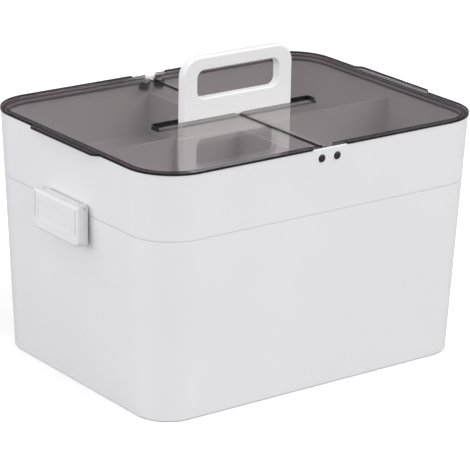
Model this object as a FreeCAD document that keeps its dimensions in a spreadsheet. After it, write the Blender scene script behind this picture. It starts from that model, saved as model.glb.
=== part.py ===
import FreeCAD, Part
import math
import os
import Sketcher

# First aid box with two clear lids, a carrying handle and two side clips.
# Frame: origin at the middle of the underside, +X to the right, +Y to the back, +Z up. Millimetres.

Vector = FreeCAD.Vector
Rotation = FreeCAD.Rotation

doc = FreeCAD.newDocument("first_aid_box")
sheet = doc.addObject("Spreadsheet::Sheet", "sizes")

# Driving sizes
SIZES = [
    # the whole box, measured at the top edge of the tray's wall
    ("rim_width", 320),
    ("rim_depth", 245.2),
    ("wall_top", 200),
    ("seam_height", 147.4),
    ("base_inset", 10),
    ("rim_radius", 38.5),
    # lower box
    ("box_wall", 2.4),
    ("box_floor", 2.6),
    ("box_floor_fillet", 5),
    ("base_fillet", 1.6),
    ("foot_width", 7),
    ("foot_height", 1.2),
    ("mouth_bevel", 0.15),
    # catch ledges of the lower box
    ("ledge_width", 50),
    ("ledge_reach", 0.5),
    ("ledge_below_seam", 16.4),
    ("ledge_thickness", 2.5),
    ("ledge_gusset", 3.5),
    # tray
    ("tray_wall", 2.2),
    ("tray_bevel", 0.5),
    ("tray_floor", 2.2),
    ("tray_floor_fillet", 4),
    ("tray_rim_round", 0.5),
    ("skirt_drop", 8),
    ("skirt_wall", 2),
    ("skirt_clearance", 0.4),
    ("divider_drop", 14),
    ("divider_wall", 3),
    # socket of the handle
    ("socket_length", 118),
    ("socket_depth", 16),
    ("socket_wall", 2.2),
    ("socket_web", 4),
    # handle
    ("handle_width", 107),
    ("handle_thickness", 8),
    ("handle_rise", 49.5),
    ("handle_corner", 16),
    ("handle_round", 2),
    ("grip_width", 79.5),
    ("grip_rise", 15.4),
    ("grip_height", 22.8),
    ("grip_corner", 6.5),
    ("grip_round", 1.2),
    ("tang_length", 100),
    ("tang_thickness", 5.6),
    ("tang_drop", 12),
    ("tang_clearance", 0.08),
    # screws of the handle
    ("screw_spacing", 70),
    ("screw_shank", 4),
    ("screw_reach", 10),
    ("screw_head", 7.6),
    ("screw_head_height", 2.6),
    ("screw_clearance", 0.2),
    ("screw_slot_width", 1.1),
    ("screw_slot_length", 4.4),
    ("screw_slot_depth", 1.2),
    # lids
    ("flange_thickness", 1.95),
    ("flange_overhang", 0.6),
    ("flange_start", 17),
    ("lid_wall", 1.9),
    ("lid_clearance", 0.5),
    ("lid_drop", 5.5),
    ("lid_edge_round", 0.5),
    ("rim_start", 5.5),
    ("open_angle", 75),
    ("stop_clearance", 0.3),
    ("knuckle_gap", 0.3),
    ("panel_recess", 3.2),
    ("panel_thickness", 2),
    ("split_gap", 1.9),
    ("panel_relief", 2.4),
    ("slot_length", 153.6),
    ("slot_width", 9),
    ("slot_lip", 0.9),
    ("slot_lip_proud", 0.3),
    ("slot_lip_drop", 2),
    ("tab_width", 94),
    ("tab_slant", 4.5),
    ("tab_reach", 5.3),
    # hinge pins of the lids
    ("pin_spacing", 14.9),
    ("pin_drop", 7.6),
    ("pin_diameter", 6.4),
    ("pin_stub", 4.5),
    ("pin_round", 1.4),
    ("pin_clearance", 0.08),
    ("pin_proud", 1.1),
    ("lug_radius", 4),
    ("lug_thickness", 5),
    # clips
    ("clip_width", 63),
    ("clip_proud", 10.3),
    ("clip_below_ledge", 6.9),
    ("clip_wall", 2.2),
    ("clip_side", 2),
    ("cap_width", 3.5),
    ("cap_back", 4.5),
    ("cap_round", 2),
    ("clip_corner_round", 5),
    ("clip_front_round", 2.4),
    ("pivot_above_seam", 5.6),
    ("pivot_proud", 1.4),
    ("barrel_radius", 3),
    ("barrel_round", 2.95),
    ("hook_clearance", 0.3),
    ("hook_thickness", 2),
    ("pad_margin", 7),
    ("pad_below_top", 8),
    ("pad_height", 15),
    ("pad_recess", 0.6),
    ("groove_margin", 2.7),
    ("groove_width", 1),
    ("groove_below_top", 1.6),
    ("groove_height", 20),
    ("groove_depth", 1),
    # hinge ears and pins of the clips
    ("ear_inset", 2),
    ("ear_thickness", 3),
    ("ear_clearance", 0.5),
    ("clip_pin_diameter", 2.5),
    ("clip_pin_clearance", 0.06),
    # how far a cut runs on past what it takes away
    ("cut_margin", 5),
]
for row, (alias, value) in enumerate(SIZES, start=1):
    sheet.set(f"A{row}", alias)
    sheet.set(f"B{row}", str(value))
    sheet.setAlias(f"B{row}", alias)
doc.recompute()


def worked(text):
    """An expression with each size's name led by the sheet's name."""
    known = {alias for alias, value in SIZES}
    words = []
    word = ""
    for letter in text + " ":
        if letter.isalnum() or letter == "_":
            word += letter
            continue
        words.append(f"sizes.{word}" if word in known else word)
        words.append(letter)
        word = ""
    return "".join(words).strip()


def bind(thing, prop, text):
    """Tie one property to an expression of the sizes."""
    thing.setExpression(prop, worked(str(text)))


# Outline of the outer wall, which leans out from the base to the rim


def lean(height):
    """How far the wall at this height stands inside the rim."""
    return f"base_inset * (1 - ({height}) / wall_top)"


def half_x(height, inside="0"):
    return f"rim_width / 2 - {lean(height)} - ({inside})"


def half_y(height, inside="0"):
    return f"rim_depth / 2 - {lean(height)} - ({inside})"


def corner(height, inside="0"):
    return f"rim_radius - {lean(height)} - ({inside})"


# Helpers for features


def new_body(label):
    body = doc.addObject("PartDesign::Body", label)
    body.Label = label
    return body


def origin_plane(body, role):
    return next(item for item in body.Origin.OriginFeatures if item.Role == role)


def new_sketch(body, name, role, offset):
    """A sketch on an origin plane of its body, moved along the plane's normal."""
    sketch = body.newObject("Sketcher::SketchObject", name)
    sketch.AttachmentSupport = [(origin_plane(body, role), "")]
    sketch.MapMode = "FlatFace"
    bind(sketch, "AttachmentOffset.Base.z", offset)
    return sketch


def value_of(text):
    """The number that an expression of the sizes gives now."""
    return float(sheet.evalExpression(worked(text)))


def rounded_sketch(body, name, wide, deep, radius, height):
    """A rectangle with round corners, centred on the Z axis. wide and deep are half sizes."""
    sketch = new_sketch(body, name, "XY_Plane", height)
    x, y, r = value_of(wide), value_of(deep), value_of(radius)
    centres = [(x - r, y - r), (r - x, y - r), (r - x, r - y), (x - r, r - y)]
    arcs = []
    for turn, (cx, cy) in enumerate(centres):
        start = turn * 90
        circle = Part.Circle(Vector(cx, cy, 0), Vector(0, 0, 1), r)
        arc = Part.ArcOfCircle(circle, math.radians(start), math.radians(start + 90))
        arcs.append(sketch.addGeometry(arc))
    lines = []
    ends = [
        ((x - r, y), (r - x, y)),
        ((-x, y - r), (-x, r - y)),
        ((r - x, -y), (x - r, -y)),
        ((x, r - y), (x, y - r)),
    ]
    for first, last in ends:
        lines.append(sketch.addGeometry(Part.LineSegment(Vector(*first, 0), Vector(*last, 0))))
    for turn in range(4):
        sketch.addConstraint(Sketcher.Constraint("Tangent", arcs[turn], 2, lines[turn], 1))
        sketch.addConstraint(Sketcher.Constraint("Tangent", lines[turn], 2, arcs[(turn + 1) % 4], 1))
    for turn in (0, 2):
        sketch.addConstraint(Sketcher.Constraint("Horizontal", lines[turn]))
    for turn in (1, 3):
        sketch.addConstraint(Sketcher.Constraint("Vertical", lines[turn]))
    for turn in range(1, 4):
        sketch.addConstraint(Sketcher.Constraint("Equal", arcs[0], arcs[turn]))
    places = [
        ("DistanceY", lines[0], deep, y),
        ("DistanceY", lines[2], f"-({deep})", -y),
        ("DistanceX", lines[3], wide, x),
        ("DistanceX", lines[1], f"-({wide})", -x),
    ]
    for kind, line, text, number in places:
        held = sketch.addConstraint(Sketcher.Constraint(kind, -1, 1, line, 1, number))
        bind(sketch, f"Constraints[{held}]", text)
    held = sketch.addConstraint(Sketcher.Constraint("Radius", arcs[0], r))
    bind(sketch, f"Constraints[{held}]", radius)
    return sketch


def wall_sketch(body, name, height, inside):
    """The outline of the outer wall at this height, moved in by an amount."""
    wide, deep, radius = half_x(height, inside), half_y(height, inside), corner(height, inside)
    return rounded_sketch(body, name, wide, deep, radius, height)


def polygon_sketch(body, name, role, offset, points):
    """A closed outline of straight lines through points given as expressions."""
    sketch = new_sketch(body, name, role, offset)
    spots = [Vector(value_of(a), value_of(b), 0) for a, b in points]
    count = len(spots)
    for index in range(count):
        sketch.addGeometry(Part.LineSegment(spots[index], spots[(index + 1) % count]))
    for index in range(count):
        sketch.addConstraint(Sketcher.Constraint("Coincident", index, 2, (index + 1) % count, 1))
    for index, (a, b) in enumerate(points):
        for kind, text, number in (("DistanceX", a, spots[index].x), ("DistanceY", b, spots[index].y)):
            held = sketch.addConstraint(Sketcher.Constraint(kind, -1, 1, index, 1, number))
            bind(sketch, f"Constraints[{held}]", text)
    return sketch


def pad(body, name, sketch, length, midplane=False):
    feature = body.newObject("PartDesign::Pad", name)
    feature.Profile = sketch
    feature.Midplane = midplane
    bind(feature, "Length", length)
    return feature


def loft(body, name, kind, lower, upper):
    feature = body.newObject(f"PartDesign::{kind}Loft", name)
    feature.Profile = lower
    feature.Sections = [upper]
    feature.Ruled = True
    return feature


def box(body, name, kind, x, y, z):
    """A block between pairs of expressions along each axis. kind is Additive or Subtractive."""
    feature = body.newObject(f"PartDesign::{kind}Box", name)
    for prop, axis, (low, high) in (("Length", "x", x), ("Width", "y", y), ("Height", "z", z)):
        bind(feature, prop, f"({high}) - ({low})")
        bind(feature, f"Placement.Base.{axis}", low)
    return feature


def rod(body, name, kind, along, radius, start, length):
    """A cylinder whose axis runs along +X, +Y or +Z from start."""
    feature = body.newObject(f"PartDesign::{kind}Cylinder", name)
    turns = {"x": Rotation(Vector(0, 1, 0), 90), "y": Rotation(Vector(1, 0, 0), -90), "z": Rotation()}
    feature.Placement = FreeCAD.Placement(Vector(), turns[along])
    bind(feature, "Radius", radius)
    bind(feature, "Height", length)
    for axis, text in zip("xyz", start):
        bind(feature, f"Placement.Base.{axis}", text)
    return feature


def dress(body, name, kind, size, wanted):
    """A fillet or chamfer on those edges of the body so far that wanted() picks."""
    doc.recompute()
    base = body.Tip
    picked = [f"Edge{n}" for n, edge in enumerate(base.Shape.Edges, start=1) if wanted(edge)]
    if not picked:
        raise ValueError(f"{body.Label}: no edge found for {name}")
    feature = body.newObject(f"PartDesign::{kind}", name)
    feature.Base = (base, picked)
    bind(feature, "Radius" if kind == "Fillet" else "Size", size)
    return feature


NEAR = 0.01


def is_near(first, second):
    return abs(first - second) < NEAR


def level(edge, height):
    """Whether all of the edge lies at this height."""
    bounds = edge.BoundBox
    return is_near(bounds.ZMin, height) and is_near(bounds.ZMax, height)


# Lower box


def make_lower_box():
    body = new_body("lower_box")
    base = wall_sketch(body, "base_outline", "0", "0")
    top = wall_sketch(body, "seam_outline", "seam_height", "0")
    loft(body, "outer_wall", "Additive", base, top)
    low = wall_sketch(body, "floor_outline", "box_floor", "box_wall")
    high = wall_sketch(body, "mouth_outline", "seam_height", "box_wall")
    loft(body, "inside", "Subtractive", low, high)
    floor = value_of("box_floor")
    dress(body, "floor_round", "Fillet", "box_floor_fillet", lambda edge: level(edge, floor))
    dress(body, "base_round", "Fillet", "base_fillet", lambda edge: level(edge, 0))
    seam = value_of("seam_height")
    outer = value_of(half_x("seam_height")) - value_of("box_wall") / 2
    deep = value_of(half_y("seam_height")) - value_of("box_wall") / 2
    dress(
        body,
        "seam_edge",
        "Chamfer",
        "mouth_bevel",
        lambda edge: level(edge, seam) and is_outer(edge, outer, deep),
    )
    recess = wall_sketch(body, "foot_outline", "0", "foot_width")
    pocket = body.newObject("PartDesign::Pocket", "foot_recess")
    pocket.Profile = recess
    pocket.Reversed = True
    bind(pocket, "Length", "foot_height")
    for side, name in ((1, "right"), (-1, "left")):
        make_ledge(body, side, name)
    return body


def is_outer(edge, wide, deep):
    """Whether the edge belongs to the outer outline and not to the inner one."""
    bounds = edge.BoundBox
    return bounds.XMax > wide or bounds.XMin < -wide or bounds.YMax > deep or bounds.YMin < -deep


LEDGE_OUT = "rim_width / 2 + ledge_reach"
LEDGE_UNDERSIDE = "seam_height - ledge_below_seam"
LEDGE_TOP = f"{LEDGE_UNDERSIDE} + ledge_thickness"


def make_ledge(body, side, name):
    """The ledge under which a clip hooks: square below, sloped above."""
    root = half_x(LEDGE_UNDERSIDE, "box_wall / 2")
    points = [
        (f"{side} * ({root})", LEDGE_UNDERSIDE),
        (f"{side} * ({LEDGE_OUT})", LEDGE_UNDERSIDE),
        (f"{side} * ({LEDGE_OUT})", LEDGE_TOP),
        (f"{side} * ({root})", f"{LEDGE_TOP} + ledge_gusset"),
    ]
    if side < 0:
        points.reverse()
    sketch = polygon_sketch(body, f"ledge_outline_{name}", "XZ_Plane", "0", points)
    pad(body, f"ledge_{name}", sketch, "ledge_width", midplane=True)


# Tray


TRAY_FLOOR_TOP = "seam_height + tray_floor"
DIVIDER_TOP = "wall_top - divider_drop"
HINGE_Z = "wall_top - pin_drop"


def make_tray():
    body = new_body("upper_tray")
    low = wall_sketch(body, "seam_outline", "seam_height", "0")
    high = wall_sketch(body, "rim_outline", "wall_top", "0")
    loft(body, "outer_wall", "Additive", low, high)
    floor = wall_sketch(body, "floor_outline", TRAY_FLOOR_TOP, "tray_wall")
    mouth = wall_sketch(body, "mouth_outline", "wall_top", "tray_wall")
    loft(body, "inside", "Subtractive", floor, mouth)
    floor_top = value_of(TRAY_FLOOR_TOP)
    dress(body, "floor_round", "Fillet", "tray_floor_fillet", lambda edge: level(edge, floor_top))
    seam = value_of("seam_height")
    dress(body, "seam_edge", "Chamfer", "tray_bevel", lambda edge: level(edge, seam))
    rim = value_of("wall_top")
    dress(body, "rim_round", "Fillet", "tray_rim_round", lambda edge: level(edge, rim))
    make_skirt(body)
    make_dividers(body)
    make_socket(body)
    make_pin_bores(body)
    make_ears(body)
    return body


SKIRT_BOTTOM = "seam_height - skirt_drop"
SKIRT_INSIDE = "box_wall + skirt_clearance"


def make_skirt(body):
    """The ring under the floor that sits inside the mouth of the lower box."""
    ring = wall_sketch(body, "skirt_outline", SKIRT_BOTTOM, SKIRT_INSIDE)
    pad(body, "skirt", ring, "skirt_drop")
    core = wall_sketch(body, "skirt_inner_outline", SKIRT_BOTTOM, f"{SKIRT_INSIDE} + skirt_wall")
    pocket = body.newObject("PartDesign::Pocket", "skirt_inside")
    pocket.Profile = core
    pocket.Reversed = True
    bind(pocket, "Length", "skirt_drop")


def wall_to_wall(half):
    """The outline of a divider: it ends inside the leaning walls."""
    foot = half(TRAY_FLOOR_TOP, "tray_wall / 2")
    head = half(DIVIDER_TOP, "tray_wall / 2")
    start = "seam_height + tray_floor / 2"
    return [
        (f"-({foot})", start),
        (foot, start),
        (head, DIVIDER_TOP),
        (f"-({head})", DIVIDER_TOP),
    ]


def make_dividers(body):
    """The cross of walls that makes four compartments."""
    across = polygon_sketch(body, "divider_outline_across", "XZ_Plane", "0", wall_to_wall(half_x))
    pad(body, "divider_across", across, "divider_wall", midplane=True)
    along = polygon_sketch(body, "divider_outline_along", "YZ_Plane", "0", wall_to_wall(half_y))
    pad(body, "divider_along", along, "divider_wall", midplane=True)


TANG_BOTTOM = f"{DIVIDER_TOP} - tang_drop"
SOCKET_FLOOR = f"{TANG_BOTTOM} - tang_clearance"
WEB_BOTTOM = f"{SOCKET_FLOOR} - socket_web"


def make_socket(body):
    """The hollow block that carries the handle, open below, with a slit for the tang above."""
    length, depth = "socket_length / 2", "socket_depth / 2"
    box(
        body,
        "socket_block",
        "Additive",
        (f"-{length}", length),
        (f"-{depth}", depth),
        ("seam_height", DIVIDER_TOP),
    )
    box(
        body,
        "socket_hollow",
        "Subtractive",
        (f"socket_wall - {length}", f"{length} - socket_wall"),
        (f"socket_wall - {depth}", f"{depth} - socket_wall"),
        ("seam_height", WEB_BOTTOM),
    )
    tang_x = "tang_length / 2 + tang_clearance"
    tang_y = "tang_thickness / 2 + tang_clearance"
    box(
        body,
        "tang_slit",
        "Subtractive",
        (f"-({tang_x})", tang_x),
        (f"-({tang_y})", tang_y),
        (SOCKET_FLOOR, DIVIDER_TOP),
    )
    for side, name in ((1, "right"), (-1, "left")):
        rod(
            body,
            f"screw_hole_{name}",
            "Subtractive",
            "z",
            "screw_shank / 2 + screw_clearance",
            (f"{side} * screw_spacing / 2", "0", WEB_BOTTOM),
            "socket_web",
        )


def make_pin_bores(body):
    """Four bores through the front and back walls for the pins of the lids."""
    for side_x in (1, -1):
        for side_y in (1, -1):
            start = half_y("wall_top", "tray_wall * 2") if side_y > 0 else f"-({half_y('wall_top')})"
            rod(
                body,
                f"pin_bore_{side_name(side_x)}_{depth_name(side_y)}",
                "Subtractive",
                "y",
                "pin_diameter / 2 + pin_clearance",
                (f"{side_x} * pin_spacing / 2", start, HINGE_Z),
                "tray_wall * 2",
            )


def span(side, near, far):
    """The low and high end of a stretch from near to far on the side of a sign."""
    return (near, far) if side > 0 else (f"-({far})", f"-({near})")


def side_name(side):
    return "right" if side > 0 else "left"


def depth_name(side):
    return "back" if side > 0 else "front"


PIVOT_X = "rim_width / 2 + pivot_proud"
PIVOT_Z = "seam_height + pivot_above_seam"
CLIP_CORE = "clip_width / 2 - cap_width"
EAR_OUTER = f"{CLIP_CORE} - ear_inset"
EAR_INNER = f"{EAR_OUTER} - ear_thickness"


def make_ears(body):
    """Two ears on each side wall carry the pin of a clip."""
    root = half_x(f"{PIVOT_Z} - barrel_radius", "tray_wall / 2")
    for side in (1, -1):
        for end in (1, -1):
            name = f"{side_name(side)}_{depth_name(end)}"
            near, far = span(side, root, PIVOT_X)
            low, high = span(end, EAR_INNER, EAR_OUTER)
            box(
                body,
                f"ear_{name}",
                "Additive",
                (near, far),
                (low, high),
                (f"{PIVOT_Z} - barrel_radius", f"{PIVOT_Z} + barrel_radius"),
            )
            spot = (f"{side} * ({PIVOT_X})", low, PIVOT_Z)
            rod(body, f"ear_end_{name}", "Additive", "y", "barrel_radius", spot, "ear_thickness")
            bore = "clip_pin_diameter / 2 + clip_pin_clearance"
            rod(body, f"ear_bore_{name}", "Subtractive", "y", bore, spot, "ear_thickness")


# Handle and its screws


HANDLE_TOP = "wall_top + handle_rise"
GRIP_BOTTOM = "wall_top + grip_rise"


def make_handle():
    body = new_body("handle")
    wide, thick = "handle_width / 2", "handle_thickness / 2"
    box(body, "plate", "Additive", (f"-{wide}", wide), (f"-{thick}", thick), (DIVIDER_TOP, HANDLE_TOP))
    top, base = value_of(HANDLE_TOP), value_of(DIVIDER_TOP)
    half_thick = value_of(thick)

    def runs_through(edge):
        """Whether the edge is straight from the front face to the back face."""
        bounds = edge.BoundBox
        return is_near(bounds.YLength, 2 * half_thick) and is_near(bounds.XLength + bounds.ZLength, 0)

    def on_face(edge):
        """Whether the edge lies in the front face or the back face."""
        bounds = edge.BoundBox
        return is_near(bounds.YLength, 0) and is_near(abs(bounds.YMin), half_thick)

    dress(body, "shoulders", "Fillet", "handle_corner", lambda edge: level(edge, top) and runs_through(edge))
    grip_wide = "grip_width / 2"
    box(
        body,
        "grip_hole",
        "Subtractive",
        (f"-{grip_wide}", grip_wide),
        (f"-{thick}", thick),
        (GRIP_BOTTOM, f"{GRIP_BOTTOM} + grip_height"),
    )
    inner = value_of(grip_wide)

    def round_grip(edge):
        """Whether the edge belongs to the outline of the grip opening."""
        bounds = edge.BoundBox
        beside = bounds.XMin > -inner - NEAR and bounds.XMax < inner + NEAR
        return beside and bounds.ZMin > base + NEAR and bounds.ZMax < top - NEAR

    dress(body, "grip_corners", "Fillet", "grip_corner", lambda edge: runs_through(edge) and round_grip(edge))
    dress(
        body,
        "outer_round",
        "Fillet",
        "handle_round",
        lambda edge: on_face(edge) and not round_grip(edge) and not level(edge, base),
    )
    dress(body, "grip_edge_round", "Fillet", "grip_round", lambda edge: on_face(edge) and round_grip(edge))
    tang_x, tang_y = "tang_length / 2", "tang_thickness / 2"
    box(body, "tang", "Additive", (f"-{tang_x}", tang_x), (f"-{tang_y}", tang_y), (TANG_BOTTOM, DIVIDER_TOP))
    for side in (1, -1):
        rod(
            body,
            f"screw_bore_{side_name(side)}",
            "Subtractive",
            "z",
            "screw_shank / 2",
            (f"{side} * screw_spacing / 2", "0", TANG_BOTTOM),
            "screw_reach",
        )
    return body


def make_screw(side):
    """A pan head screw from below, through the web of the socket into the tang."""
    body = new_body(f"handle_screw_{side_name(side)}")
    x = f"{side} * screw_spacing / 2"
    start = f"{WEB_BOTTOM} - screw_head_height"
    rod(body, "head", "Additive", "z", "screw_head / 2", (x, "0", start), "screw_head_height")
    shank = "screw_reach + socket_web + tang_clearance"
    rod(body, "shank", "Additive", "z", "screw_shank / 2", (x, "0", WEB_BOTTOM), shank)
    long, short = "screw_slot_length / 2", "screw_slot_width / 2"
    for name, wide, deep in (("slot_x", long, short), ("slot_y", short, long)):
        box(
            body,
            name,
            "Subtractive",
            (f"{x} - {wide}", f"{x} + {wide}"),
            (f"-{deep}", deep),
            (start, f"{start} + screw_slot_depth"),
        )
    return body


# Lids. The left one is modelled and the right one is the same part turned round.


LID_TOP = "wall_top + flange_thickness"
PANEL_TOP = f"{LID_TOP} - panel_recess"
PANEL_BOTTOM = f"{PANEL_TOP} - panel_thickness"
LID_BOTTOM = "wall_top - lid_drop"
LID_INSIDE = "tray_wall + lid_clearance"


def outline_at_rim(body, name, inside, height):
    """The rim's outline, moved in by an amount, at a height of its own."""
    return rounded_sketch(
        body,
        name,
        f"rim_width / 2 - ({inside})",
        f"rim_depth / 2 - ({inside})",
        f"rim_radius - ({inside})",
        height,
    )


def cut_right_part(body, name, start):
    """Take away all that lies to the right of x = -start."""
    reach = "rim_width"
    box(
        body,
        name,
        "Subtractive",
        (f"-({start})", reach),
        (f"-{reach}", reach),
        (f"{LID_BOTTOM} - cut_margin", f"{LID_TOP} + cut_margin"),
    )


def make_lid():
    body = new_body("lid_left")
    flange = outline_at_rim(body, "flange_outline", "-flange_overhang", "wall_top")
    pad(body, "flange", flange, "flange_thickness")
    edge_x = "rim_width / 2 + flange_overhang"
    tab = polygon_sketch(
        body,
        "tab_outline",
        "XY_Plane",
        "wall_top",
        [
            (f"-({edge_x} - lid_wall)", "tab_width / 2"),
            (f"-({edge_x})", "tab_width / 2"),
            (f"-(rim_width / 2 + tab_reach)", "tab_width / 2 - tab_slant"),
            (f"-(rim_width / 2 + tab_reach)", "tab_slant - tab_width / 2"),
            (f"-({edge_x})", "-tab_width / 2"),
            (f"-({edge_x} - lid_wall)", "-tab_width / 2"),
        ],
    )
    pad(body, "finger_tab", tab, "flange_thickness")
    top = value_of(LID_TOP)
    dress(body, "flange_round", "Fillet", "lid_edge_round", lambda edge: level(edge, top))
    cut_right_part(body, "flange_end", "flange_start")
    outer = outline_at_rim(body, "rim_outline", LID_INSIDE, LID_BOTTOM)
    pad(body, "rim_wall", outer, f"{LID_TOP} - ({LID_BOTTOM})")
    cut_right_part(body, "rim_end", "rim_start")
    inside = f"{LID_INSIDE} + lid_wall"
    panel_y = f"rim_depth / 2 - ({inside})"
    for name, height, length in (
        ("well", PANEL_TOP, "panel_recess"),
        ("underside", LID_BOTTOM, f"{PANEL_BOTTOM} - ({LID_BOTTOM})"),
    ):
        sketch = outline_at_rim(body, f"{name}_outline", inside, height)
        pocket = body.newObject("PartDesign::Pocket", name)
        pocket.Profile = sketch
        pocket.Reversed = True
        bind(pocket, "Length", length)
    inner = "split_gap / 2"
    box(
        body,
        "panel_edge",
        "Additive",
        ("-(rim_start + lid_wall)", f"-{inner}"),
        (f"-({panel_y})", panel_y),
        (PANEL_BOTTOM, PANEL_TOP),
    )
    for end in (1, -1):
        low, high = span(end, f"{panel_y} - lug_thickness", panel_y)
        box(
            body,
            f"panel_relief_{depth_name(end)}",
            "Subtractive",
            ("-panel_relief", "0"),
            (low, high),
            (PANEL_BOTTOM, PANEL_TOP),
        )
    slot_y = "slot_width / 2"
    lip_y = "slot_width / 2 + slot_lip"
    box(
        body,
        "slot_lip_block",
        "Additive",
        ("-(slot_length / 2 + slot_lip)", f"-{inner}"),
        (f"-({lip_y})", lip_y),
        (f"{PANEL_BOTTOM} - slot_lip_drop", f"{PANEL_TOP} + slot_lip_proud"),
    )
    box(
        body,
        "handle_slot",
        "Subtractive",
        ("-slot_length / 2", "0"),
        (f"-{slot_y}", slot_y),
        (f"{PANEL_BOTTOM} - cut_margin", f"{PANEL_TOP} + cut_margin"),
    )
    make_stop_face(body)
    make_lugs(body)
    return body


def make_stop_face(body):
    """Slope the inner end, so that both lids stand open together without crossing the middle.

    The rim's two end knuckles keep their full height over half the wall: the outer half in front, the
    inner half at the back. The other lid is the same part turned round, so their full halves pass
    each other.
    """
    outer = f"rim_depth / 2 - ({LID_INSIDE})"
    outer_half = "(lid_wall + knuckle_gap) / 2"
    inner_half = f"{outer_half} + knuckle_gap"
    inner_middle = f"{outer} - lid_wall - knuckle_gap + ({inner_half}) / 2"
    stretches = [
        ("middle", "0", f"2 * ({outer} - lid_wall)", "0"),
        ("front", inner_middle, inner_half, KNUCKLE_REACH),
        ("back", f"{outer_half} / 2 - ({outer})", outer_half, KNUCKLE_REACH),
    ]
    for name, offset, length, reach in stretches:
        outline = polygon_sketch(
            body,
            f"stop_outline_{name}",
            "XZ_Plane",
            offset,
            [
                ("0", stop_height("0", reach)),
                ("0", f"{LID_TOP} + cut_margin"),
                ("-flange_start", f"{LID_TOP} + cut_margin"),
                ("-flange_start", stop_height("flange_start", reach)),
            ],
        )
        pocket = body.newObject("PartDesign::Pocket", f"stop_face_{name}")
        pocket.Profile = outline
        pocket.Midplane = True
        bind(pocket, "Length", length)


# how far the top of a knuckle crosses the middle when its lid is open
KNUCKLE_REACH = (
    "(pin_spacing / 2 - rim_start) * cos(open_angle * 1 deg)"
    " + (flange_thickness + pin_drop) * sin(open_angle * 1 deg) - pin_spacing / 2"
)


def stop_height(inset, reach):
    """How high the lid may stand at this inset from the middle, to clear the other lid when open.

    The other lid reaches this far across the middle.
    """
    free = f"pin_spacing / 2 - stop_clearance - ({reach})"
    along = f"{free} - (pin_spacing / 2 - {inset}) * cos(open_angle * 1 deg)"
    return f"{HINGE_Z} + ({along}) / sin(open_angle * 1 deg)"


LUG_FACE = half_y(f"{HINGE_Z} - lug_radius", LID_INSIDE)


def make_lugs(body):
    """The lugs under the panel that turn on the pins."""
    x = "-pin_spacing / 2"
    face = LUG_FACE
    for end in (1, -1):
        name = depth_name(end)
        start, finish = span(end, f"{face} - lug_thickness", face)
        box(
            body,
            f"lug_neck_{name}",
            "Additive",
            (f"{x} - lug_radius", f"{x} + lug_radius"),
            (start, finish),
            (HINGE_Z, PANEL_BOTTOM),
        )
        rod(body, f"lug_{name}", "Additive", "y", "lug_radius", (x, start, HINGE_Z), "lug_thickness")
        rim = f"rim_depth / 2 - ({LID_INSIDE})"
        bore_start, bore_end = span(end, f"{face} - lug_thickness", rim)
        bore_length = f"{bore_end} - ({bore_start})"
        spot = (x, bore_start, HINGE_Z)
        rod(body, f"lug_bore_{name}", "Subtractive", "y", "pin_stub / 2", spot, bore_length)


def make_pin(side_x, side_y):
    """One pin: its stub is held in a lid's lug, its head turns in the bore of the wall."""
    body = new_body(f"lid_pin_{depth_name(side_y)}_{side_name(side_x)}")
    x = f"{side_x} * pin_spacing / 2"
    face = f"{half_y(HINGE_Z)} + pin_proud"
    shoulder = f"rim_depth / 2 - ({LID_INSIDE})"
    inner = f"{LUG_FACE} - lug_thickness"
    start = span(side_y, shoulder, face)[0]
    rod(body, "head", "Additive", "y", "pin_diameter / 2", (x, start, HINGE_Z), f"{face} - ({shoulder})")
    start = span(side_y, inner, shoulder)[0]
    rod(body, "stub", "Additive", "y", "pin_stub / 2", (x, start, HINGE_Z), f"{shoulder} - ({inner})")
    seen = side_y * value_of(face)

    def is_end_circle(edge):
        """Whether the edge is the circle round the end that stands out of the wall."""
        bounds = edge.BoundBox
        return is_near(bounds.YMin, seen) and is_near(bounds.YMax, seen)

    dress(body, "end_round", "Fillet", "pin_round", is_end_circle)
    return body


# Clips. The right one is modelled and the left one is its mirror image.


CLIP_OUT = "rim_width / 2 + clip_proud"
CLIP_BACK = f"{PIVOT_X} - barrel_radius"
CLIP_TOP = f"{PIVOT_Z} + barrel_radius"
CLIP_BOTTOM = f"{LEDGE_UNDERSIDE} - clip_below_ledge"
HOOK_TOP = f"{LEDGE_UNDERSIDE} - hook_clearance"
CAP_BACK = "rim_width / 2 + cap_back"
TOP_BLOCK = f"{PIVOT_Z} - barrel_radius - ear_clearance"
PAD_TOP = f"{CLIP_TOP} - pad_below_top"
GROOVE_TOP = f"{CLIP_TOP} - groove_below_top"
CLIP_PIN_HALF = f"{CLIP_CORE} - clip_pin_clearance"


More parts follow.
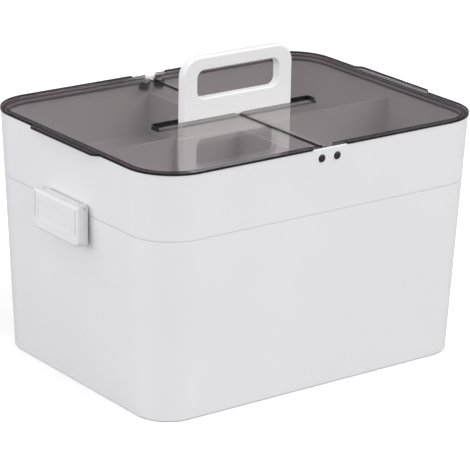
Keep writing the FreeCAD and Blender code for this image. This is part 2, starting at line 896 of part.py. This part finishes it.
def make_clip():
    body = new_body("clip_right")
    half = "clip_width / 2"
    box(body, "shell", "Additive", (CLIP_BACK, CLIP_OUT), (f"-{half}", half), (CLIP_BOTTOM, CLIP_TOP))
    out, back = value_of(CLIP_OUT), value_of(CLIP_BACK)
    top, bottom = value_of(CLIP_TOP), value_of(CLIP_BOTTOM)

    def runs_out(edge, height):
        """Whether the edge runs straight out from the wall at this height."""
        return level(edge, height) and is_near(edge.BoundBox.XLength, out - back)

    def is_hinge_edge(edge):
        return level(edge, top) and is_near(edge.BoundBox.XMax, back)

    dress(body, "hinge_round", "Fillet", "barrel_round", is_hinge_edge)
    dress(body, "corner_round", "Fillet", "clip_corner_round", lambda edge: runs_out(edge, bottom))
    dress(body, "front_round", "Fillet", "clip_front_round", lambda edge: is_near(edge.BoundBox.XMin, out))
    hollow = f"{CLIP_CORE} - clip_side"
    hook_out = f"{CLIP_BACK} + hook_thickness"
    box(
        body,
        "hollow",
        "Subtractive",
        (CLIP_BACK, f"{CLIP_OUT} - clip_wall"),
        (f"-({hollow})", hollow),
        (HOOK_TOP, TOP_BLOCK),
    )
    box(
        body,
        "hook_channel",
        "Subtractive",
        (hook_out, f"{CLIP_OUT} - clip_wall"),
        (f"-({hollow})", hollow),
        (f"{CLIP_BOTTOM} + clip_wall", HOOK_TOP),
    )
    for end in (1, -1):
        box(
            body,
            f"cap_relief_{depth_name(end)}",
            "Subtractive",
            (CLIP_BACK, CAP_BACK),
            span(end, CLIP_CORE, half),
            (CLIP_BOTTOM, CLIP_TOP),
        )
        groove = f"{half} - groove_margin"
        box(
            body,
            f"groove_{depth_name(end)}",
            "Subtractive",
            (f"{CLIP_OUT} - groove_depth", CLIP_OUT),
            span(end, f"{groove} - groove_width", groove),
            (f"{GROOVE_TOP} - groove_height", GROOVE_TOP),
        )
        box(
            body,
            f"ear_notch_{depth_name(end)}",
            "Subtractive",
            (CLIP_BACK, f"{PIVOT_X} + barrel_radius + ear_clearance"),
            span(end, f"{EAR_INNER} - ear_clearance", f"{EAR_OUTER} + ear_clearance"),
            (TOP_BLOCK, CLIP_TOP),
        )
    pad_y = "clip_width / 2 - pad_margin"
    box(
        body,
        "pad_recess",
        "Subtractive",
        (f"{CLIP_OUT} - pad_recess", CLIP_OUT),
        (f"-({pad_y})", pad_y),
        (f"{PAD_TOP} - pad_height", PAD_TOP),
    )
    spot = (PIVOT_X, f"-({CLIP_CORE})", PIVOT_Z)
    rod(body, "pin_bore", "Subtractive", "y", "clip_pin_diameter / 2", spot, f"2 * ({CLIP_CORE})")
    behind = value_of(CAP_BACK)

    def is_cap_edge(edge):
        """Whether the edge is the upper edge at the back of a cap."""
        bounds = edge.BoundBox
        return level(edge, top) and is_near(bounds.XMin, behind) and is_near(bounds.XMax, behind)

    dress(body, "cap_round", "Fillet", "cap_round", is_cap_edge)
    return body


def make_clip_pin():
    body = new_body("clip_pin_right")
    spot = (PIVOT_X, f"-({CLIP_PIN_HALF})", PIVOT_Z)
    rod(body, "pin", "Additive", "y", "clip_pin_diameter / 2", spot, f"2 * ({CLIP_PIN_HALF})")
    return body


def mirror(source, label, normal=Vector(1, 0, 0)):
    """The mirror image of a body about the plane through the origin with this normal."""
    image = doc.addObject("Part::Mirroring", label)
    image.Label = label
    image.Source = source
    image.Base = Vector(0, 0, 0)
    image.Normal = normal
    return image


def turned_round(source, label):
    """The body turned half a turn about Z, as two mirror images."""
    return mirror(mirror(source, f"{label}_facing_back"), label, Vector(0, 1, 0))


pieces = [make_lower_box(), make_tray(), make_handle()]
pieces += [make_screw(side) for side in (1, -1)]
lid = make_lid()
pieces += [lid, turned_round(lid, "lid_right")]
pieces += [make_pin(side_x, side_y) for side_x in (1, -1) for side_y in (1, -1)]
clip = make_clip()
pieces += [clip, mirror(clip, "clip_left")]
clip_pin = make_clip_pin()
pieces += [clip_pin, mirror(clip_pin, "clip_pin_left")]

doc.recompute()
for item in doc.Objects:
    if "Invalid" in item.State or "Error" in item.State:
        raise ValueError(f"{item.Label} could not be built: {item.State}")
for piece in pieces:
    if piece.Shape.isNull() or not piece.Shape.isValid() or len(piece.Shape.Solids) != 1:
        raise ValueError(f"{piece.Label} is not one valid solid")

os.makedirs("parts", exist_ok=True)
for piece in pieces:
    piece.Shape.exportStep(f"parts/{piece.Label}.step")
    print(piece.Label, round(piece.Shape.Volume), "mm3")
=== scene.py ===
import math

import bpy
from mathutils import Matrix, Vector

# Looks of the first aid box. Metres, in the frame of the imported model.

# Where the camera stands and what it looks at
CAMERA_TARGET = Vector((-0.01321, -0.02099, 0.10291))
CAMERA_DISTANCE = 2.1302
CAMERA_AZIMUTH = math.radians(-36.65)
CAMERA_ELEVATION = math.radians(18.801)
CAMERA_ROLL = math.radians(1.134)
CAMERA_LENS = 204.0
SENSOR_WIDTH = 36.0
CAMERA_REACH = 50.0

# Studio
FLOOR_REACH = 30.0
FLOOR_GLOW = 0.16
LAMP_SPREAD = math.radians(45)
WHITE = (1.0, 1.0, 1.0)
COOL = (0.99, 0.985, 1.02)

# Heights of the seam and of the lids' levels
SEAM_HEIGHT = 0.1474
SKIRT_BOTTOM = 0.1945
PANEL_TOP = 0.19875
FLANGE_TOP = 0.20195

# Centre of the rounded corners, and the radii there between which the lids' rims lie
CORNER_CENTRE = (0.1215, 0.0841)
RIM_START = 0.0327
RIM_END = 0.0372

# Short ways over which one tint of a lid, or the painted shade in the seam, gives way to the next
SHARP_STEP = 0.0002
SOFT_STEP = 0.0004

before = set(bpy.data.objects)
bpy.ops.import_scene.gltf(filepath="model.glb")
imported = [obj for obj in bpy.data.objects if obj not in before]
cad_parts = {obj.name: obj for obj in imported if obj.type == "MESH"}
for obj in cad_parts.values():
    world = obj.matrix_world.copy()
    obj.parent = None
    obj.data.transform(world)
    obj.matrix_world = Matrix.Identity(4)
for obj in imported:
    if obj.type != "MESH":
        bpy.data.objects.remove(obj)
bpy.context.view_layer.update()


def connect(tree, source, target):
    """Link an output to an input, or set the input to a plain number or colour."""
    if isinstance(source, bpy.types.NodeSocket):
        tree.links.new(source, target)
    elif isinstance(source, (int, float)):
        target.default_value = source
    else:
        target.default_value = (*source, 1)


class Shading:
    """A material or world under construction."""

    def __init__(self, tree):
        self.tree = tree
        tree.nodes.clear()

    def add(self, kind, **settings):
        """A node with its own settings and its inputs by name."""
        node = self.tree.nodes.new(kind)
        for name, value in settings.items():
            if name in node.bl_rna.properties:
                setattr(node, name, value)
            else:
                node.inputs[name.replace("_", " ")].default_value = value
        return node

    def join(self, source, target):
        connect(self.tree, source, target)

    def apart(self, vector):
        """The X, Y and Z of a place or a direction."""
        node = self.add("ShaderNodeSeparateXYZ")
        self.join(vector, node.inputs["Vector"])
        return [node.outputs[axis] for axis in "XYZ"]

    def noise(self, place, scale, detail=2.0, roughness=0.5):
        node = self.add("ShaderNodeTexNoise", Scale=scale, Detail=detail, Roughness=roughness)
        self.join(place, node.inputs["Vector"])
        return node.outputs["Fac"]

    def stretch(self, place, factors):
        """The same place, scaled along each axis."""
        node = self.add("ShaderNodeMapping", Scale=factors)
        self.join(place, node.inputs["Vector"])
        return node.outputs["Vector"]

    def between(self, value, low, high, new_low, new_high):
        """A value mapped from one range to another, and kept inside it."""
        node = self.add(
            "ShaderNodeMapRange", From_Min=low, From_Max=high, To_Min=new_low, To_Max=new_high
        )
        self.join(value, node.inputs["Value"])
        return node.outputs["Result"]

    def above(self, value, low, step):
        """0 below a value, 1 above it, and a short ramp of the step's width."""
        return self.between(value, low, low + step, 0.0, 1.0)

    def near(self, value, centre, reach, step, most=1.0):
        """The most within a reach of the centre, and 0 past the step that follows."""
        away = self.math("ABSOLUTE", self.math("SUBTRACT", value, centre), 0.0)
        return self.between(away, reach, reach + step, most, 0.0)

    def math(self, operation, first, second):
        node = self.add("ShaderNodeMath", operation=operation)
        self.join(first, node.inputs[0])
        self.join(second, node.inputs[1])
        return node.outputs["Value"]

    def colour(self, factor, first, second):
        """A colour between two, each plain or from a node, by a factor."""
        node = self.add("ShaderNodeMix", data_type="RGBA")
        self.join(factor, node.inputs["Factor"])
        self.join(first, node.inputs[6])
        self.join(second, node.inputs[7])
        return node.outputs[2]

    def distance_out(self, place, centre):
        """How far a place lies out from the nearest corner's centre, or from the lines between them."""
        flat = self.stretch(place, (1.0, 1.0, 0.0))
        for operation, value in (("ABSOLUTE", None), ("SUBTRACT", (*centre, 0)), ("MAXIMUM", (0, 0, 0))):
            node = self.add("ShaderNodeVectorMath", operation=operation)
            self.join(flat, node.inputs[0])
            if value is not None:
                node.inputs[1].default_value = value
            flat = node.outputs["Vector"]
        node = self.add("ShaderNodeVectorMath", operation="LENGTH")
        self.join(flat, node.inputs[0])
        return node.outputs["Value"]

    def bump(self, height, distance, strength, after=None):
        node = self.add("ShaderNodeBump", Distance=distance, Strength=strength)
        self.join(height, node.inputs["Height"])
        if after is not None:
            self.join(after, node.inputs["Normal"])
        return node.outputs["Normal"]

    def mix_shaders(self, factor, first, second):
        node = self.add("ShaderNodeMixShader")
        self.join(factor, node.inputs["Fac"])
        self.join(first.outputs[0], node.inputs[1])
        self.join(second.outputs[0], node.inputs[2])
        return node

    def finish(self, surface, kind="ShaderNodeOutputMaterial"):
        self.join(surface.outputs[0], self.add(kind).inputs["Surface"])


def new_material(name):
    material = bpy.data.materials.new(name)
    material.use_nodes = True
    return material, Shading(material.node_tree)


def moulded_plastic(name, pale, shaded, roughness, grain, grain_height, seam=None):
    """Opaque moulded plastic: faint cloudiness, a spark-eroded grain and a few soft scuffs.

    A thin line of painted shade darkens the seam at the height that is given.
    """
    material, shading = new_material(name)
    place = shading.add("ShaderNodeTexCoord").outputs["Object"]
    clouds = shading.noise(place, 9.0, 3.0)
    speckle = shading.noise(place, 700.0)
    cloudy = shading.between(clouds, 0.35, 0.65, 0.0, 0.7)
    speckled = shading.between(speckle, 0.3, 0.7, 0.0, 0.3)
    base = shading.colour(shading.math("ADD", cloudy, speckled), pale, shaded)
    if seam is not None:
        height = shading.apart(place)[2]
        # Painted shade: a thin dark line along the seam, where the gap between the tray and the lower box
        # lies in shade.
        dust_and_seam_shade = shading.near(height, seam, SHARP_STEP, SOFT_STEP, most=0.22)
        base = shading.colour(dust_and_seam_shade, base, (0.3, 0.28, 0.27))

    scuffs = shading.noise(shading.stretch(place, (14.0, 14.0, 160.0)), 1.0, 5.0, 0.62)
    scuffed = shading.between(scuffs, 0.52, 0.74, roughness, roughness + 0.12)
    rough = shading.math("ADD", scuffed, shading.between(speckle, 0.3, 0.7, -0.03, 0.03))
    normal = shading.bump(shading.noise(place, 26.0, 1.0), 0.0004, 0.12)
    normal = shading.bump(shading.noise(place, grain, 3.0, 0.6), grain_height, 0.6, normal)
    surface = shading.add("ShaderNodeBsdfPrincipled")
    shading.join(base, surface.inputs["Base Color"])
    shading.join(rough, surface.inputs["Roughness"])
    shading.join(normal, surface.inputs["Normal"])
    shading.finish(surface)
    return material


def lid_tint(shading, place, normal, clear, flange, inner, line, outer, edge):
    """The tint of each face of a lid.

    Light that enters at an outer edge has a long way through the plastic, so the flanges' outer
    edges, the split and the back of the slot look almost black. The rims' upright faces are clearer,
    with a dark line where they turn into the flange and the panel.
    """
    _, y, z = shading.apart(place)
    _, facing_y, facing_z = shading.apart(normal)
    out = shading.distance_out(place, CORNER_CENTRE)
    clouds = shading.noise(place, 16.0)
    level = shading.colour(clouds, clear, [0.98 * part for part in clear])
    level = shading.colour(shading.above(z, PANEL_TOP + SOFT_STEP, SOFT_STEP), level, flange)

    at_flange = shading.above(z, FLANGE_TOP - 0.0009, 0.0005)
    at_panel = shading.near(z, PANEL_TOP, SHARP_STEP, 0.0003)
    rim = shading.colour(shading.math("MAXIMUM", at_flange, at_panel), inner, line)

    along = shading.above(shading.math("ABSOLUTE", facing_y, 0.0), 0.4, 0.2)
    in_front = shading.between(y, -0.001, 0.001, 1.0, 0.0)
    side = shading.colour(shading.math("MULTIPLY", along, in_front), edge, inner)
    side = shading.colour(shading.above(out, RIM_START - SHARP_STEP, SOFT_STEP), side, rim)
    hanging = shading.between(z, SKIRT_BOTTOM, SKIRT_BOTTOM + SHARP_STEP, 1.0, 0.0)
    side = shading.colour(hanging, side, inner)
    side = shading.colour(shading.above(out, RIM_END - SHARP_STEP, SOFT_STEP), side, outer)
    steepness = shading.math("ABSOLUTE", facing_z, 0.0)
    return shading.colour(shading.between(steepness, 0.45, 0.95, 1.0, 0.0), level, side)


def smoked_plastic(name, gloss, **tints):
    """Clear smoked plastic. It lets light straight through, tinted, and mirrors more at a low angle."""
    material, shading = new_material(name)
    coordinates = shading.add("ShaderNodeTexCoord")
    place = coordinates.outputs["Object"]
    through = shading.add("ShaderNodeBsdfTransparent")
    shading.join(lid_tint(shading, place, coordinates.outputs["Normal"], **tints), through.inputs["Color"])

    dust_and_seam_shade = shading.noise(place, 420.0, 4.0, 0.7)
    scratches = shading.noise(shading.stretch(place, (18.0, 260.0, 18.0)), 1.0, 4.0, 0.6)
    dusty = shading.between(dust_and_seam_shade, 0.55, 0.8, gloss, gloss + 0.05)
    rough = shading.math("ADD", dusty, shading.between(scratches, 0.6, 0.75, 0.0, 0.04))
    mirror = shading.add("ShaderNodeBsdfGlossy")
    shading.join(rough, mirror.inputs["Roughness"])
    shading.join(shading.bump(shading.noise(place, 20.0, 1.0), 0.0004, 0.05), mirror.inputs["Normal"])
    grazing = shading.add("ShaderNodeLayerWeight", Blend=0.5).outputs["Facing"]
    share = shading.between(shading.math("POWER", grazing, 5.0), 0.0, 1.0, 0.04, 1.0)
    shading.finish(shading.mix_shaders(share, through, mirror))
    return material


def steel(name):
    """Turned steel with fine rings along its length."""
    material, shading = new_material(name)
    place = shading.add("ShaderNodeTexCoord").outputs["Object"]
    rings = shading.noise(shading.stretch(place, (60.0, 2600.0, 60.0)), 1.0, 3.0, 0.6)
    surface = shading.add("ShaderNodeBsdfPrincipled", Metallic=1.0)
    shading.join(shading.colour(rings, (0.5, 0.5, 0.5), (0.68, 0.67, 0.66)), surface.inputs["Base Color"])
    shading.join(shading.between(rings, 0.2, 0.8, 0.22, 0.4), surface.inputs["Roughness"])
    shading.join(shading.bump(rings, 0.00003, 0.5), surface.inputs["Normal"])
    shading.finish(surface)
    return material


def dress(starts, material):
    """Give their material to the CAD nodes whose names start so. A later call goes over an earlier one."""
    for name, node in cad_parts.items():
        if name.startswith(starts):
            node.data.materials.clear()
            node.data.materials.append(material)


def place_in_scene(name, data):
    thing = bpy.data.objects.new(name, data)
    bpy.context.scene.collection.objects.link(thing)
    return thing


def direction(azimuth, elevation):
    """From the object towards a camera or lamp that stands at these angles."""
    flat = math.cos(elevation)
    return Vector((math.sin(azimuth) * flat, -math.cos(azimuth) * flat, math.sin(elevation)))


def add_camera():
    back = direction(CAMERA_AZIMUTH, CAMERA_ELEVATION)
    right = Vector((math.cos(CAMERA_AZIMUTH), math.sin(CAMERA_AZIMUTH), 0))
    up = back.cross(right)
    turned_right = math.cos(CAMERA_ROLL) * right + math.sin(CAMERA_ROLL) * up
    turned_up = math.cos(CAMERA_ROLL) * up - math.sin(CAMERA_ROLL) * right
    data = bpy.data.cameras.new("camera")
    data.lens = CAMERA_LENS
    data.sensor_width = SENSOR_WIDTH
    data.clip_end = CAMERA_REACH
    camera = place_in_scene("camera", data)
    turn = Matrix((turned_right, turned_up, back)).transposed().to_4x4()
    camera.matrix_world = Matrix.Translation(CAMERA_TARGET + CAMERA_DISTANCE * back) @ turn
    bpy.context.scene.camera = camera


def add_floor():
    """White paper. To the lens it glows a little, and it throws less light back on the object."""
    mesh = bpy.data.meshes.new("floor")
    corners = [(x * FLOOR_REACH, y * FLOOR_REACH, 0) for x, y in ((-1, -1), (1, -1), (1, 1), (-1, 1))]
    mesh.from_pydata(corners, [], [(0, 1, 2, 3)])
    floor = place_in_scene("floor", mesh)
    material, shading = new_material("floor_paper")
    place = shading.add("ShaderNodeTexCoord").outputs["Object"]
    paper = shading.add("ShaderNodeBsdfDiffuse")
    shade = shading.colour(shading.noise(place, 3.0), (0.93, 0.93, 0.93), (0.95, 0.95, 0.95))
    shading.join(shade, paper.inputs["Color"])
    glow = shading.add("ShaderNodeEmission", Color=(*WHITE, 1.0), Strength=FLOOR_GLOW)
    lit = shading.add("ShaderNodeAddShader")
    shading.join(paper.outputs["BSDF"], lit.inputs[0])
    shading.join(glow.outputs["Emission"], lit.inputs[1])
    dim = shading.add("ShaderNodeBsdfDiffuse", Color=(0.33, 0.33, 0.33, 1.0))
    seen = shading.add("ShaderNodeLightPath").outputs["Is Camera Ray"]
    shading.finish(shading.mix_shaders(seen, dim, lit))
    mesh.materials.append(material)


def add_sun(name, azimuth, elevation, strength, colour, mirrored):
    """A soft distant lamp. Its angles, in degrees, say where it stands, as for the camera."""
    data = bpy.data.lights.new(name, "SUN")
    data.energy = strength
    data.angle = LAMP_SPREAD
    data.color = colour
    lamp = place_in_scene(name, data)
    lamp.visible_glossy = mirrored
    lamp.rotation_mode = "QUATERNION"
    back = direction(math.radians(azimuth), math.radians(elevation))
    lamp.rotation_quaternion = back.to_track_quat("Z", "Y")


def add_world():
    """A white studio whose light comes mostly from above. The lens itself sees plain white."""
    world = bpy.data.worlds.new("studio")
    world.use_nodes = True
    bpy.context.scene.world = world
    shading = Shading(world.node_tree)
    height = shading.apart(shading.add("ShaderNodeTexCoord").outputs["Generated"])[2]
    room = shading.add("ShaderNodeBackground", Color=(*WHITE, 1.0))
    shading.join(shading.between(height, 0.36, 0.75, 0.12, 0.97), room.inputs["Strength"])
    sweep = shading.add("ShaderNodeBackground", Color=(*WHITE, 1.0), Strength=1.0)
    seen = shading.add("ShaderNodeLightPath").outputs["Is Camera Ray"]
    shading.finish(shading.mix_shaders(seen, room, sweep), "ShaderNodeOutputWorld")


add_camera()
add_floor()
add_world()
# The low lamps aren't mirrored, because their glare would hide what is under the lids.
add_sun("left_back", azimuth=-125, elevation=15, strength=0.52, colour=COOL, mirrored=False)
add_sun("left", azimuth=-90, elevation=12, strength=1.62, colour=COOL, mirrored=False)
add_sun("front", azimuth=-15, elevation=12, strength=0.80, colour=WHITE, mirrored=False)
add_sun("front_right", azimuth=40, elevation=35, strength=1.80, colour=WHITE, mirrored=True)
add_sun("back_right", azimuth=145, elevation=12, strength=0.6, colour=WHITE, mirrored=False)
bpy.context.scene.view_settings.view_transform = "Standard"

pale, shaded = (0.80, 0.80, 0.812), (0.775, 0.775, 0.79)
box_white = moulded_plastic("box_plastic", pale, shaded, 0.4, 1500.0, 0.00004, seam=SEAM_HEIGHT)
clip_white = moulded_plastic("clip_plastic", pale, shaded, 0.38, 1600.0, 0.00003)
handle_white = moulded_plastic(
    "handle_plastic", (0.80, 0.80, 0.80), (0.78, 0.78, 0.78), 0.34, 1900.0, 0.00002
)
dark = moulded_plastic("pin_plastic", (0.012, 0.012, 0.013), (0.02, 0.02, 0.022), 0.35, 1500.0, 0.00003)
smoke = smoked_plastic(
    "smoked_plastic",
    gloss=0.02,
    clear=(0.83, 0.805, 0.806),
    flange=(0.52, 0.5, 0.51),
    inner=(0.68, 0.66, 0.67),
    line=(0.25, 0.23, 0.24),
    outer=(0.04, 0.035, 0.04),
    edge=(0.03, 0.028, 0.03),
)

dress(("lower_box", "upper_tray"), box_white)
dress(("clip_left", "clip_right"), clip_white)
dress("handle", handle_white)
dress(("lid_left", "lid_right"), smoke)
dress("lid_pin", dark)
dress(("clip_pin", "handle_screw"), steel("steel"))
